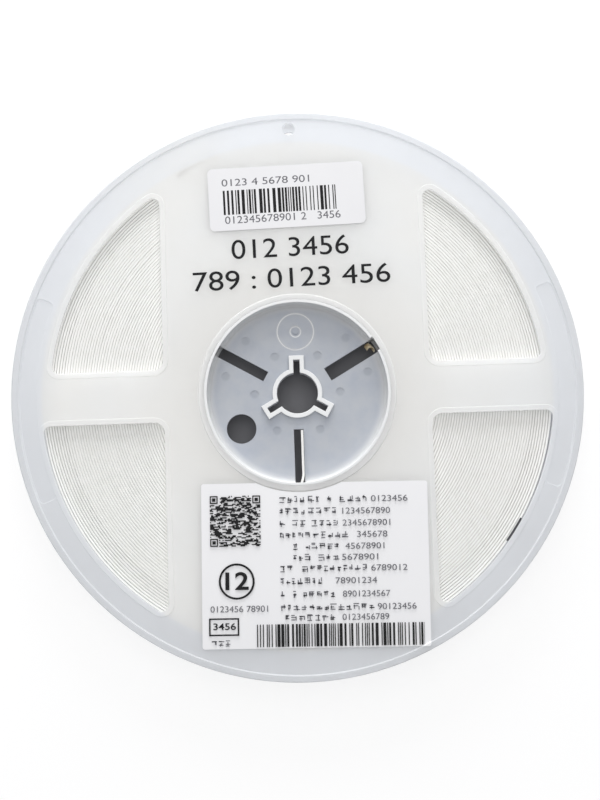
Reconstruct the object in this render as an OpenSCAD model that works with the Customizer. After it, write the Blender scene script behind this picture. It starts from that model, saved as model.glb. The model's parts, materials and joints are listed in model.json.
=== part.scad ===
// Reel for 8 mm component tape, full of wound paper tape, lying on its rear flange.
// The axis of the reel is Z, and the rim of the rear flange stands on z = 0.
// Two thin flanges are pressed on the lips of a moulded hub, and the tape fills the space between.

/* [Reel] */
// Outer diameter of both flanges
reel_d = 180; // [176:1:200]
// Clear width between the flanges
tape_space = 9; // [8.6:0.1:12]
// Thickness of a flange
sheet_t = 1; // [0.8:0.1:1.6]
// Width of the thickened rim
rim_w = 2; // [1.5:0.1:3]
// How far the rim stands out from the flange
rim_rise = 0.4; // [0.3:0.05:0.8]
// Diameter of the small round hole near the rim
rim_hole_d = 4; // [2:0.1:5]
// Distance of that hole from the edge of the flange
rim_hole_inset = 5.3; // [4.6:0.1:7]

/* [Windows] */
// Distance of the straight inner edge of a window from the middle line
window_x = 42; // [38:0.5:50]
// Width of the two spokes that lie between the windows
spoke_w = 16.4; // [12:0.2:24]
// Width of the closed band outside the two upper windows
upper_band_w = 12.2; // [9.4:0.1:16]
// Width of the closed band outside the two lower windows
lower_band_w = 9.4; // [9.4:0.1:16]
// Radius of the corner at the spoke and the straight edge
inner_corner_r = 3.4; // [1:0.1:6]
// Radius of the two corners at the curved edge
outer_corner_r = 2.2; // [1:0.1:4]
// Width of the flat frame round a window
frame_w = 1.6; // [0.8:0.1:1.8]
// How far the frame stands out from the flange
frame_rise = 0.2; // [0.1:0.05:0.25]
// Width of the curved recess in the band at each end of the spokes
recess_w = 5.2; // [3:0.1:5.5]
// Gap between that recess and the slope of the rim
recess_gap = 0.3; // [0.3:0.1:1]
// Half of the angle that the recess spans
recess_half_angle = 22; // [10:1:30]
// Depth of the recess
recess_depth = 0.3; // [0.1:0.05:0.5]
// Radius of the recess corners
recess_corner_r = 1.4; // [0.5:0.1:1.4]

/* [Hub] */
// Diameter of the wall that the tape is wound on
hub_d = 60.6; // [58:0.2:64]
// Thickness of that wall
hub_wall = 1.8; // [1.4:0.1:2.6]
// Thickness of the lips that hold the flanges
lip_w = 0.9; // [0.7:0.05:1.1]
// Width of the raised ring round the opening of a flange
mouth_ring_w = 1.8; // [1:0.1:2.5]
// Thickness of the web
web_t = 2; // [1.6:0.1:3]
// Radius of the fillet between web and wall
web_fillet_r = 1.2; // [0.5:0.1:1.5]
// Diameter of the centre hole
bore_d = 13; // [12.8:0.1:13.2]
// Width of the three keyways
key_w = 2; // [1.5:0.1:2.5]
// Distance of a keyway's end from the axis
key_reach = 10.6; // [9.5:0.1:10.8]
// Wall of the collar round the hole and its keyways
collar_w = 1.4; // [0.8:0.1:1.6]
// How far the collar stands out of the web
collar_rise = 1.2; // [0.5:0.1:1.6]
// Width of the wide tape slot, at 30 degrees
wide_slot_w = 4.6; // [3.5:0.1:6]
// Width of the middle tape slot, at 150 degrees
mid_slot_w = 3.4; // [2.5:0.1:5]
// Width of the tape slot that holds the tape's end, at 270 degrees
tail_slot_w = 3.1; // [2.5:0.1:4]
// Distance of the slots' inner ends from the axis
slot_in_r = 11.4; // [10:0.1:14]
// Diameter of the single round hole in the web
side_hole_d = 9.4; // [6:0.1:10]
// Distance of that hole from the axis
side_hole_r = 21; // [19:0.1:22]
// Direction of that hole
side_hole_angle = 210.7; // [205:0.1:215]
// Distance of the moulding's gate mark from the axis
gate_r = 19.8; // [18.5:0.1:20.5]
// Radius of the ring round the gate
gate_ring_r = 5.8; // [4:0.1:5.8]
// Diameter of the marks that ejector pins left
pin_mark_d = 2.8; // [2:0.1:3]
// Depth of the ejector and gate marks
mark_depth = 0.2; // [0.1:0.05:0.4]

/* [Tape] */
// Width of the carrier tape
tape_w = 8; // [7.8:0.1:8.2]
// Thickness of one turn of tape
turn_t = 0.84; // [0.6:0.01:1.1]
// Width of the flange that the full roll leaves free outside it
free_band_w = 9.1; // [9:0.1:30]
// Width of the groove between two tight turns
tight_gap = 0.16; // [0.08:0.01:0.2]
// Width of the groove between the loose turns near the outside
loose_gap = 0.3; // [0.2:0.01:0.4]
// Number of loose turns
loose_turns = 8; // [3:1:15]
// Depth of the grooves between the turns
groove_depth = 0.55; // [0.2:0.05:1]
// Angle that the tape runs on after its last whole turn
tape_end_turn = 155; // [90:1:170]
// Angle that the strip of adhesive tape on the outer end spans
end_tab_angle = 26; // [15:1:40]
// Thickness of that adhesive tape
end_tab_t = 0.1; // [0.06:0.01:0.2]
// Direction of the short dark strip on the outside of the roll
edge_strip_at = 325.9; // [300:0.1:350]
// Angle that the dark strip spans
edge_strip_angle = 6; // [3:0.5:15]
// Thickness of the dark strip
edge_strip_t = 0.35; // [0.1:0.05:0.5]

/* [Labels] */
// Thickness of both labels
label_t = 0.12; // [0.08:0.01:0.2]
// Width of the upper label
upper_w = 49.6; // [40:0.2:54]
// Height of the upper label
upper_h = 20.2; // [15:0.1:22]
// Distance of the upper label's centre from the edge of the flange
upper_inset = 27.2; // [22:0.1:35]
// Tilt of the upper label
upper_tilt = 1.4; // [-3:0.1:3]
// Corner radius of the upper label
upper_corner_r = 1.6; // [0.5:0.1:3]
// Width of the lower label
lower_w = 70.6; // [50:0.2:72]
// Height of the lower label
lower_h = 51; // [40:0.2:51]
// How far the lower label reaches up beside the raised ring round the hub
lower_overlap = 2.7; // [0:0.1:5]
// Tilt of the lower label
lower_tilt = -1; // [-1.5:0.1:1]
// Corner radius of the lower label
lower_corner_r = 0.8; // [0.3:0.1:3]

/* [Clearances] */
// Gap between a hub lip and the opening of the flange round it
lip_gap = 0.05; // [0.02:0.01:0.1]
// Gap between the first turn and the hub wall
wind_gap = 0.1; // [0.05:0.01:0.3]
// Gap between the tape and the rear flange that it rests on
rest_gap = 0.05; // [0.02:0.01:0.1]
// Gap between the tape's inner end and the side of its slot
tail_gap = 0.15; // [0.05:0.01:0.3]
// Gap between the labels and the raised ring round the hub
label_gap = 0.2; // [0.1:0.05:0.5]
// Gap between the two strips and the tape under them
tab_gap = 0.02; // [0.01:0.01:0.1]

/* [Hidden] */
$fn = 96;

// Radii of the flanges and of the hub
reel_r = reel_d / 2;
rim_in_r = reel_r - rim_w;
rim_slope = 0.3;
edge_chamfer = 0.25;
upper_window_r = reel_r - upper_band_w;
lower_window_r = reel_r - lower_band_w;
recess_out_r = rim_in_r - rim_slope - recess_gap;
recess_in_r = recess_out_r - recess_w;
rim_hole_r = reel_r - rim_hole_inset;
hub_r = hub_d / 2;
well_r = hub_r - hub_wall;
lip_r = well_r + lip_w;
mouth_r = lip_r + lip_gap;
mouth_ring_r = mouth_r + mouth_ring_w;

// Heights from the surface that the reel lies on
rear_in_z = rim_rise + sheet_t;
front_in_z = rear_in_z + tape_space;
front_out_z = front_in_z + sheet_t;
mid_z = (rear_in_z + front_in_z) / 2;
web_low_z = mid_z - web_t / 2;
web_top_z = mid_z + web_t / 2;
lip_low_z = rear_in_z - sheet_t - frame_rise;
lip_top_z = front_out_z + frame_rise;
past = 1;

// Directions of the three keyways and of the three tape slots
KEY_ANGLES = [90, 210, 330];
SLOT_ANGLES = [30, 150, 270];
SLOT_WIDTHS = [wide_slot_w, mid_slot_w, tail_slot_w];

// Ejector marks: six on an inner circle and four on an outer one
PIN_RING_R = 13.6;
PIN_RING_ANGLES = [0, 60, 120, 180, 240, 300];
OUTER_PIN_R = 23.4;
OUTER_PIN_ANGLES = [15, 47, 133, 165];

// Tape roll: a spiral whose halves have their centres half a turn's thickness apart
tape_low_z = rear_in_z + rest_gap;
tape_top_z = tape_low_z + tape_w;
roll_in_r = hub_r + wind_gap;
turns = floor((reel_r - free_band_w - roll_in_r) / turn_t) - 1;
last_turn_r = roll_in_r + turns * turn_t;
tape_start_angle = SLOT_ANGLES[2];
// The inner end: a straight run along the slot, then a bend into the first turn
tail_t = turn_t - tight_gap;
tail_bend_r = tail_slot_w + 0.1;
tail_x = tail_slot_w / 2 - tail_gap - tail_t / 2;
tail_bend_y = -(roll_in_r + tail_t / 2 - tail_bend_r);
tail_end_y = -(slot_in_r + 0.4);

// Labels: the upper one lies above the hub and the lower one below it
upper_x = -1.4;
upper_y = reel_r - upper_inset;
lower_x = 3.8;
lower_y = lower_overlap - mouth_ring_r - lower_h / 2;
label_in_r = mouth_ring_r + label_gap;

// Points along an arc about a centre, from one angle to another
function arc(centre, radius, from, to, steps) =
    [for (i = [0:steps]) centre + radius * [cos(from + (to - from) * i / steps), sin(from + (to - from) * i / steps)]];

function polar(radius, angle) = radius * [cos(angle), sin(angle)];

// Outline of the window in the first quarter, with its curved edge at a radius, grown outwards by an amount
function window_points(window_r, grow) =
    let (
        outer = window_r + grow,
        x_edge = window_x - grow,
        y_edge = spoke_w / 2 - grow,
        inner_r = inner_corner_r + grow,
        corner_r = outer_corner_r + grow,
        low_y = y_edge + corner_r,
        high_x = x_edge + corner_r,
        low_centre = [sqrt(pow(outer - corner_r, 2) - pow(low_y, 2)), low_y],
        high_centre = [high_x, sqrt(pow(outer - corner_r, 2) - pow(high_x, 2))],
        low_angle = atan2(low_centre.y, low_centre.x),
        high_angle = atan2(high_centre.y, high_centre.x)
    )
    concat(
        arc([x_edge + inner_r, y_edge + inner_r], inner_r, 180, 270, 8),
        arc(low_centre, corner_r, -90, low_angle, 8),
        arc([0, 0], outer, low_angle + 1, high_angle - 1, 30),
        arc(high_centre, corner_r, high_angle, 180, 8)
    );

// Outline of the curved recess, which is symmetrical about the X axis
function recess_points() =
    let (
        out_turn = asin(recess_corner_r / (recess_out_r - recess_corner_r)),
        in_turn = asin(recess_corner_r / (recess_in_r + recess_corner_r)),
        half = recess_half_angle,
        out_r = recess_out_r - recess_corner_r,
        in_r = recess_in_r + recess_corner_r
    )
    concat(
        arc(polar(out_r, half - out_turn), recess_corner_r, half - out_turn, half + 90, 5),
        arc(polar(in_r, half - in_turn), recess_corner_r, half + 90, half + 180 - in_turn, 5),
        arc([0, 0], recess_in_r, half - 2 * in_turn, 2 * in_turn - half, 20),
        arc(polar(in_r, in_turn - half), recess_corner_r, 180 - half + in_turn, 270 - half, 5),
        arc(polar(out_r, out_turn - half), recess_corner_r, -90 - half, out_turn - half, 5),
        arc([0, 0], recess_out_r, 2 * out_turn - half, half - 2 * out_turn, 20)
    );

// Width of the groove outside a turn: the outermost turns lie looser
function groove_w(turn) = turn < turns - loose_turns ? tight_gap : loose_gap;

module rounded_rectangle(width, height, radius) {
    square([width - 2 * radius, height], center = true);
    square([width, height - 2 * radius], center = true);
    for (x = [-1, 1], y = [-1, 1])
        translate([x * (width / 2 - radius), y * (height / 2 - radius)])
            circle(radius, $fn = 32);
}

// The outlines of all four windows, grown outwards by an amount
module window_outlines(grow) {
    for (x = [0, 1])
        mirror([x, 0]) {
            polygon(window_points(upper_window_r, grow));
            mirror([0, 1])
                polygon(window_points(lower_window_r, grow));
        }
}

// One flange with its inner face on z = 0 and its moulded side upwards
module flange() {
    rim_top = sheet_t + rim_rise;
    difference() {
        union() {
            rotate_extrude()
                polygon([
                    [mouth_r, 0],
                    [reel_r - edge_chamfer, 0],
                    [reel_r, edge_chamfer],
                    [reel_r, rim_top - edge_chamfer],
                    [reel_r - edge_chamfer, rim_top],
                    [rim_in_r, rim_top],
                    [rim_in_r - rim_slope, sheet_t],
                    [mouth_ring_r, sheet_t],
                    [mouth_ring_r - frame_rise, sheet_t + frame_rise],
                    [mouth_r, sheet_t + frame_rise]
                ]);
            linear_extrude(sheet_t + frame_rise)
                window_outlines(frame_w);
        }
        translate([0, 0, -past])
            linear_extrude(sheet_t + frame_rise + 2 * past)
                window_outlines(0);
        for (side = [0, 180])
            rotate([0, 0, side])
                translate([0, 0, sheet_t - recess_depth])
                    linear_extrude(recess_depth + past)
                        polygon(recess_points());
        translate([0, rim_hole_r, -past])
            cylinder(h = sheet_t + 2 * past, d = rim_hole_d, $fn = 48);
    }
}

module front_flange() {
    color([0.93, 0.94, 0.96, 0.7])
        translate([0, 0, front_in_z])
            flange();
}

module rear_flange() {
    color([0.88, 0.9, 0.94, 0.7])
        translate([0, 0, rear_in_z])
            mirror([0, 0, 1])
                flange();
}

// Section of the hub: the web, the wall, and a thin lip at each end of the wall
module hub_section() {
    fillet_steps = 6;
    fillet_x = well_r - web_fillet_r;
    polygon(concat(
        [[0, web_low_z]],
        arc([fillet_x, web_low_z - web_fillet_r], web_fillet_r, 90, 0, fillet_steps),
        [
            [well_r, lip_low_z],
            [lip_r, lip_low_z],
            [lip_r, rear_in_z],
            [hub_r, rear_in_z],
            [hub_r, front_in_z],
            [lip_r, front_in_z],
            [lip_r, lip_top_z],
            [well_r, lip_top_z]
        ],
        arc([fillet_x, web_top_z + web_fillet_r], web_fillet_r, 0, -90, fillet_steps),
        [[0, web_top_z]]
    ));
}

// Outline of the collar, which follows the hole and its keyways
module collar_outline() {
    circle(d = bore_d + 2 * collar_w);
    for (angle = KEY_ANGLES)
        rotate([0, 0, angle])
            translate([0, -key_w / 2 - collar_w])
                square([key_reach + collar_w, key_w + 2 * collar_w]);
}

module hub_hole() {
    hole_h = web_t + 2 * collar_rise + 2 * past;
    translate([0, 0, mid_z - hole_h / 2]) {
        cylinder(h = hole_h, d = bore_d);
        for (angle = KEY_ANGLES)
            rotate([0, 0, angle])
                translate([0, -key_w / 2, 0])
                    cube([key_reach, key_w, hole_h]);
    }
}

// A tape slot cuts the web and goes out through the wall, between the two lips
module tape_slot(width) {
    translate([slot_in_r, -width / 2, rear_in_z])
        cube([hub_r + past - slot_in_r, width, tape_space]);
}

// The wide slot also opens both lips
module lip_notch(width) {
    translate([well_r - past, -width / 2, lip_low_z - past])
        cube([lip_r + past - (well_r - past), width, lip_top_z - lip_low_z + 2 * past]);
}

// Marks that the mould left on the front face of the web
module mould_marks() {
    groove_w = 0.35;
    dimple_r = 1.9;
    vestige_r = 0.8;
    for (angle = PIN_RING_ANGLES)
        rotate([0, 0, angle])
            translate([PIN_RING_R, 0, web_top_z - mark_depth])
                cylinder(h = past, d = pin_mark_d, $fn = 32);
    for (angle = OUTER_PIN_ANGLES)
        rotate([0, 0, angle])
            translate([OUTER_PIN_R, 0, web_top_z - mark_depth])
                cylinder(h = past, d = pin_mark_d, $fn = 32);
    translate([0, gate_r, web_top_z - mark_depth]) {
        rotate_extrude($fn = 64)
            translate([gate_ring_r - groove_w / 2, 0])
                square([groove_w, past]);
        rotate_extrude($fn = 48)
            translate([vestige_r, -mark_depth])
                square([dimple_r - vestige_r, past]);
    }
}

module hub() {
    color([0.72, 0.75, 0.8])
        difference() {
            union() {
                rotate_extrude()
                    hub_section();
                translate([0, 0, web_low_z - collar_rise])
                    linear_extrude(web_t + 2 * collar_rise)
                        collar_outline();
            }
            hub_hole();
            for (slot = [0:2])
                rotate([0, 0, SLOT_ANGLES[slot]])
                    tape_slot(SLOT_WIDTHS[slot]);
            rotate([0, 0, SLOT_ANGLES[0]])
                lip_notch(wide_slot_w);
            rotate([0, 0, side_hole_angle])
                translate([side_hole_r, 0, web_low_z - past])
                    cylinder(h = web_t + 2 * past, d = side_hole_d, $fn = 64);
            mould_marks();
        }
}

// Everything on the far side of the X axis, out to past the roll
module half_plane() {
    translate([-reel_r, 0])
        square([2 * reel_r, reel_r]);
}

module ring(in_r, out_r) {
    difference() {
        circle(out_r);
        circle(in_r);
    }
}

// The upper halves of all whole turns, moved outwards by a part of a thickness
module half_turns(outwards) {
    intersection() {
        union()
            for (turn = [0:turns - 1]) {
                start = roll_in_r + (turn + outwards) * turn_t;
                ring(start, start + turn_t - groove_w(turn));
            }
        half_plane();
    }
}

// The same halves with no grooves between them
module half_core(outwards) {
    intersection() {
        ring(roll_in_r + outwards * turn_t, last_turn_r + outwards * turn_t - loose_gap);
        half_plane();
    }
}

// Moves a half by half a thickness and turns it over, so that each of its turns starts where a turn
// of the other half ends and comes back one whole thickness further out
module second_half() {
    translate([turn_t / 2, 0])
        rotate(180)
            children();
}

// The stretch of tape after the last whole turn, with some of what lies inside it
module last_stretch(inwards) {
    intersection() {
        ring(last_turn_r - inwards, last_turn_r + turn_t - loose_gap);
        half_plane();
        rotate(tape_end_turn - 180)
            half_plane();
    }
}

// The edges of the turns: one spiral band with the groove between its turns
module spiral_edges() {
    half_turns(0);
    second_half()
        half_turns(0.5);
    last_stretch(0);
}

// The body of the roll between the grooves of its two faces
module spiral_core() {
    half_core(0);
    second_half()
        half_core(0.5);
    last_stretch(turn_t);
}

module wound_turns() {
    for (edge_z = [tape_low_z, tape_top_z - groove_depth])
        translate([0, 0, edge_z])
            linear_extrude(groove_depth)
                spiral_edges();
    translate([0, 0, tape_low_z + groove_depth])
        linear_extrude(tape_w - 2 * groove_depth)
            spiral_core();
}

// The spiral starts at the lower slot and runs clockwise from there
module from_tape_start() {
    rotate([0, 0, tape_start_angle])
        mirror([0, 1, 0])
            children();
}

// The inner end stands on edge in the lower slot
module tape_tail() {
    translate([tail_x - tail_t / 2, tail_bend_y, tape_low_z])
        cube([tail_t, tail_end_y - tail_bend_y, tape_w]);
    translate([tail_x - tail_bend_r, tail_bend_y, tape_low_z])
        rotate([0, 0, -90])
            rotate_extrude(angle = 90, $fn = 48)
                translate([tail_bend_r - tail_t / 2, 0])
                    square([tail_t, tape_w]);
}

module carrier_tape() {
    color([0.93, 0.92, 0.88])
        union() {
            from_tape_start()
                wound_turns();
            tape_tail();
        }
}

// A strip over the tape's outer end, most of it on the last turn
module end_tab() {
    tab_r = last_turn_r + turn_t - loose_gap + tab_gap;
    color([0.88, 0.82, 0.62, 0.8])
        from_tape_start()
            rotate([0, 0, tape_end_turn - end_tab_angle * 2 / 3])
                rotate_extrude(angle = end_tab_angle)
                    translate([tab_r, tape_low_z])
                        square([end_tab_t, tape_w]);
}

// A short dark strip that stands on edge on the outside of the roll
module edge_strip() {
    strip_r = last_turn_r + turn_t / 2 - loose_gap + tab_gap;
    strip_from = tape_start_angle - edge_strip_at - edge_strip_angle / 2;
    color([0.1, 0.1, 0.11])
        from_tape_start()
            translate([turn_t / 2, 0, 0])
                rotate([0, 0, strip_from])
                    rotate_extrude(angle = edge_strip_angle)
                        translate([strip_r, tape_low_z])
                            square([edge_strip_t, tape_w]);
}

// A skin of label thickness over the front flange: it climbs the step of the rim
module label_skin() {
    rim_top_z = front_out_z + rim_rise;
    rotate_extrude()
        polygon([
            [label_in_r, front_out_z],
            [rim_in_r - rim_slope, front_out_z],
            [rim_in_r, rim_top_z],
            [reel_r - edge_chamfer, rim_top_z],
            [reel_r - edge_chamfer, rim_top_z + label_t],
            [rim_in_r - label_t / 2, rim_top_z + label_t],
            [rim_in_r - rim_slope - label_t / 2, front_out_z + label_t],
            [label_in_r, front_out_z + label_t]
        ]);
}

module upper_label() {
    color([0.97, 0.97, 0.97])
        translate([upper_x, upper_y, front_out_z])
            rotate([0, 0, upper_tilt])
                linear_extrude(label_t)
                    rounded_rectangle(upper_w, upper_h, upper_corner_r);
}

module lower_label() {
    color([0.94, 0.95, 0.98])
        intersection() {
            label_skin();
            translate([lower_x, lower_y, front_out_z - past])
                rotate([0, 0, lower_tilt])
                    linear_extrude(rim_rise + label_t + 2 * past)
                        rounded_rectangle(lower_w, lower_h, lower_corner_r);
        }
}

front_flange();
rear_flange();
hub();
carrier_tape();
end_tab();
edge_strip();
upper_label();
lower_label();
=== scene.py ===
# %% [markdown]
# A full reel of component tape: two thin frosted flanges on a moulded hub, the paper tape wound
# between them, and two printed labels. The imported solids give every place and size, so the script
# starts by loading them. Work is done in millimetres and scaled to metres when a piece is finished.

# %% Load the frame
import json
import math
import random

import bmesh
import bpy
from mathutils import Matrix, Vector, noise


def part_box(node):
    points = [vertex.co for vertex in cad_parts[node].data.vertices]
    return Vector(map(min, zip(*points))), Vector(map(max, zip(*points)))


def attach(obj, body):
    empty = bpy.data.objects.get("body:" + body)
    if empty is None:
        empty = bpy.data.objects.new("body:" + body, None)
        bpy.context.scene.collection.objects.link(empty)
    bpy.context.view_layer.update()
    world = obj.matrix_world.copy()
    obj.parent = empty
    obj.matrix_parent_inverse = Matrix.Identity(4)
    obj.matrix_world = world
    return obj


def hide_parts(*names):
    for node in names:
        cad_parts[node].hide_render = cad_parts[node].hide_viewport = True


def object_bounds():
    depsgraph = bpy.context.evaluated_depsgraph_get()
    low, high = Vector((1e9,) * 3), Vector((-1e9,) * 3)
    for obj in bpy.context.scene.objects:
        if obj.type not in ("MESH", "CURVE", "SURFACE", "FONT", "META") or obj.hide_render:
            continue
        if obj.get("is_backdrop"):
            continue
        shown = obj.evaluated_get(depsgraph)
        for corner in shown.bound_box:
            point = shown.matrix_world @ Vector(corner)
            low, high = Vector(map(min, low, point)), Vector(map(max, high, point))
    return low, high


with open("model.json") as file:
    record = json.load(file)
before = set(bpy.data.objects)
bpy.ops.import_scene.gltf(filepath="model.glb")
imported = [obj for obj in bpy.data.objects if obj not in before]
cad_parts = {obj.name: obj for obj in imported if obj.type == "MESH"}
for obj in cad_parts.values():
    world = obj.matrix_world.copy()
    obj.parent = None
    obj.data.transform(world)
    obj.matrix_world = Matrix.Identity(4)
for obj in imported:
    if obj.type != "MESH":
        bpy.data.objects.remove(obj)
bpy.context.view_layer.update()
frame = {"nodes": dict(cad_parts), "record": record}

MM = 0.001
print("solids:", ", ".join(sorted(frame["nodes"])))


def box_mm(node):
    """Lowest and highest corner of a solid, in millimetres."""
    low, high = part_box(node)
    return low / MM, high / MM


def slot_colour(slot):
    """The base colour that the record gives to a material slot."""
    for entry in frame["record"]["materials"]:
        if entry["slot"] == slot:
            return tuple(entry["base_color"][:3])
    raise KeyError(slot)


def add_object(name, data):
    """A new object in the scene, made from its data."""
    made = bpy.data.objects.new(name, data)
    bpy.context.scene.collection.objects.link(made)
    return made


front_high = box_mm("front_flange")[1]
tape_low, tape_high = box_mm("carrier_tape")
tape_w = tape_high.z - tape_low.z
print("flange radius %.2f mm, tape %.2f mm wide" % (front_high.x, tape_w))

# %% [markdown]
# Camera. It stands 430 mm above the reel and leans back by less than six degrees, with a slight
# roll, like a camera held over a thing on a table. A small shift of the lens keeps the reel a
# little left of the middle.

# %% Camera
CAMERA_DISTANCE = 430 * MM
CAMERA_ELEVATION = math.radians(84.3)
CAMERA_ROLL = math.radians(1.95)
LENS_MM, SENSOR_MM = 61.6, 36
LENS_SHIFT = (0.0033, -0.0103)
NEAR_LIMIT, FAR_LIMIT = 0.01, 20


def place_camera(aim):
    """Makes the scene's camera, aimed at a point on the reel's axis."""
    camera = add_object("camera", bpy.data.cameras.new("camera"))
    back = Vector((0, -math.cos(CAMERA_ELEVATION), math.sin(CAMERA_ELEVATION)))
    facing = (-back).to_track_quat("-Z", "Y").to_matrix().to_4x4()
    roll = Matrix.Rotation(-CAMERA_ROLL, 4, "Z")
    camera.matrix_world = Matrix.Translation(aim + back * CAMERA_DISTANCE) @ facing @ roll
    camera.data.lens, camera.data.sensor_width = LENS_MM, SENSOR_MM
    camera.data.shift_x, camera.data.shift_y = LENS_SHIFT
    camera.data.clip_start, camera.data.clip_end = NEAR_LIMIT, FAR_LIMIT
    bpy.context.scene.camera = camera
    print("camera at", [round(c, 3) for c in camera.location])


place_camera(Vector((0, 0, front_high.z * MM)))

# %% [markdown]
# Shared effects. Three node groups serve several materials: a fine grain, a slow change between
# two colours, and the faint scratches and dust of handling.

# %% Node helpers
def feed(tree, socket, side):
    """Gives a socket another node's output, or a plain number or colour."""
    if isinstance(side, bpy.types.NodeSocket):
        tree.links.new(side, socket)
    else:
        socket.default_value = side


def set_sockets(tree, node, **sides):
    """Feeds a node's sockets by name; an underscore stands for a space."""
    for key, side in sides.items():
        feed(tree, node.inputs[key.replace("_", " ")], side)


def add_node(tree, kind, **values):
    """A node with its properties set, in small letters, and its sockets, with a capital."""
    node = tree.nodes.new(kind)
    for key, value in values.items():
        if key[0].islower():
            setattr(node, key, value)
        else:
            set_sockets(tree, node, **{key: value})
    return node


def calc(tree, operation, first, second=0.0):
    """The result of a Math node whose sides are outputs or plain numbers."""
    node = add_node(tree, "ShaderNodeMath", operation=operation)
    feed(tree, node.inputs[0], first)
    feed(tree, node.inputs[1], second)
    return node.outputs[0]


def ranged(tree, value, low=0.0, high=1.0, start=0.0, stop=1.0, smooth=False):
    """Spreads a value that runs from start to stop between low and high."""
    node = add_node(
        tree, "ShaderNodeMapRange", interpolation_type="SMOOTHSTEP" if smooth else "LINEAR",
        Value=value, From_Min=start, From_Max=stop, To_Min=low, To_Max=high,
    )
    return node.outputs["Result"]


def add_noise(tree, place, scale, detail, roughness=0.5):
    """A cloudy noise value, which is finer where the scale is larger."""
    node = add_node(
        tree, "ShaderNodeTexNoise", Vector=place, Scale=scale, Detail=detail, Roughness=roughness,
    )
    return node.outputs["Fac"]


def blend_colour(tree, mask, first, second, blend="MIX"):
    """Mixes two colours, outputs or RGBA values, by a mask or a number."""
    mix = add_node(tree, "ShaderNodeMix", data_type="RGBA", blend_type=blend, Factor=mask)
    feed(tree, mix.inputs[6], first)
    feed(tree, mix.inputs[7], second)
    return mix.outputs[2]


def plan_distance(tree, coords, x=0.0, y=0.0):
    """Distance, seen from above, to a point of the reel that is given in millimetres."""
    flat = add_node(tree, "ShaderNodeVectorMath", operation="MULTIPLY", Vector=coords)
    flat.inputs[1].default_value = (1, 1, 0)
    away = add_node(tree, "ShaderNodeVectorMath", operation="DISTANCE", Vector=flat.outputs[0])
    away.inputs[1].default_value = (x * MM, y * MM, 0)
    return away.outputs["Value"]


# %% Groups
FLOAT, COLOUR, VECTOR = "NodeSocketFloat", "NodeSocketColor", "NodeSocketVector"
ORIGIN = (0, 0, 0)
WHITE = (1.0, 1.0, 1.0, 1.0)


def new_group(name, inputs, outputs):
    """An empty shader group with (name, type, value) inputs and (name, type) outputs."""
    group = bpy.data.node_groups.new(name, "ShaderNodeTree")
    for label, kind, value in inputs:
        socket = group.interface.new_socket(label, in_out="INPUT", socket_type=kind)
        socket.default_value = value
    for label, kind in outputs:
        group.interface.new_socket(label, in_out="OUTPUT", socket_type=kind)
    entry = group.nodes.new("NodeGroupInput").outputs
    leave = group.nodes.new("NodeGroupOutput").inputs
    return group, entry, leave


def make_grain_group():
    """Height of a fine grain, with a coarser swell under it."""
    group, entry, leave = new_group(
        "fine_grain",
        [("Vector", VECTOR, ORIGIN), ("Fine Scale", FLOAT, 2000.0),
         ("Swell Scale", FLOAT, 60.0), ("Swell Share", FLOAT, 0.5)],
        [("Height", FLOAT)],
    )
    fine = add_noise(group, entry["Vector"], entry["Fine Scale"], 3.0)
    swell = add_noise(group, entry["Vector"], entry["Swell Scale"], 2.0)
    raised = calc(group, "MULTIPLY", swell, entry["Swell Share"])
    feed(group, leave["Height"], calc(group, "ADD", fine, raised))
    return group


def make_mottle_group():
    """A colour that drifts slowly between two others."""
    group, entry, leave = new_group(
        "slow_mottle",
        [("Vector", VECTOR, ORIGIN), ("Scale", FLOAT, 40.0),
         ("Base", COLOUR, WHITE), ("Drift", COLOUR, WHITE)],
        [("Color", COLOUR), ("Mask", FLOAT)],
    )
    cloud = add_noise(group, entry["Vector"], entry["Scale"], 4.0, 0.6)
    mask = ranged(group, cloud, start=0.3, stop=0.7)
    feed(group, leave["Color"], blend_colour(group, mask, entry["Base"], entry["Drift"]))
    feed(group, leave["Mask"], mask)
    return group


HAIR_TURN, HAIR_STRETCH = 0.6, (40, 900, 40)
DUST_SCALE = 260.0


def make_handling_group():
    """Mask of hairline scratches and of dust specks, from a stretched and a sharp noise."""
    group, entry, leave = new_group(
        "handling_marks",
        [("Vector", VECTOR, ORIGIN), ("Scratches", FLOAT, 1.0), ("Dust", FLOAT, 1.0)],
        [("Mask", FLOAT)],
    )
    turned = add_node(
        group, "ShaderNodeMapping", Vector=entry["Vector"], Rotation=(0, 0, HAIR_TURN),
        Scale=HAIR_STRETCH,
    )
    strands = add_noise(group, turned.outputs["Vector"], 1.0, 2.0)
    hair = ranged(group, strands, start=0.66, stop=0.74)
    specks = add_node(group, "ShaderNodeTexVoronoi", Vector=entry["Vector"], Scale=DUST_SCALE)
    speck = ranged(group, specks.outputs["Distance"], start=0.1, stop=0.04)
    hairs = calc(group, "MULTIPLY", hair, entry["Scratches"])
    dust = calc(group, "MULTIPLY", speck, entry["Dust"])
    feed(group, leave["Mask"], calc(group, "MAXIMUM", hairs, dust))
    return group


grain_group = make_grain_group()
mottle_group = make_mottle_group()
handling_group = make_handling_group()
print("groups:", grain_group.name, mottle_group.name, handling_group.name)


# %% Material helpers
def new_material(name):
    """A material with its tree, its Principled shader and the object coordinates."""
    material = bpy.data.materials.new(name)
    material.use_nodes = True
    tree = material.node_tree
    coords = tree.nodes.new("ShaderNodeTexCoord").outputs["Object"]
    return material, tree, tree.nodes["Principled BSDF"], coords


def use_group(tree, group, coords, **values):
    """Places a group in a material with its own values, and gives its outputs."""
    node = add_node(tree, "ShaderNodeGroup", node_tree=group, Vector=coords, **values)
    return node.outputs


def use_mottle(tree, coords, scale, base, drift):
    """The colour and the mask of the slow mottle between two colours."""
    outputs = use_group(tree, mottle_group, coords, Scale=scale, Base=base, Drift=drift)
    return outputs["Color"], outputs["Mask"]


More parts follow.
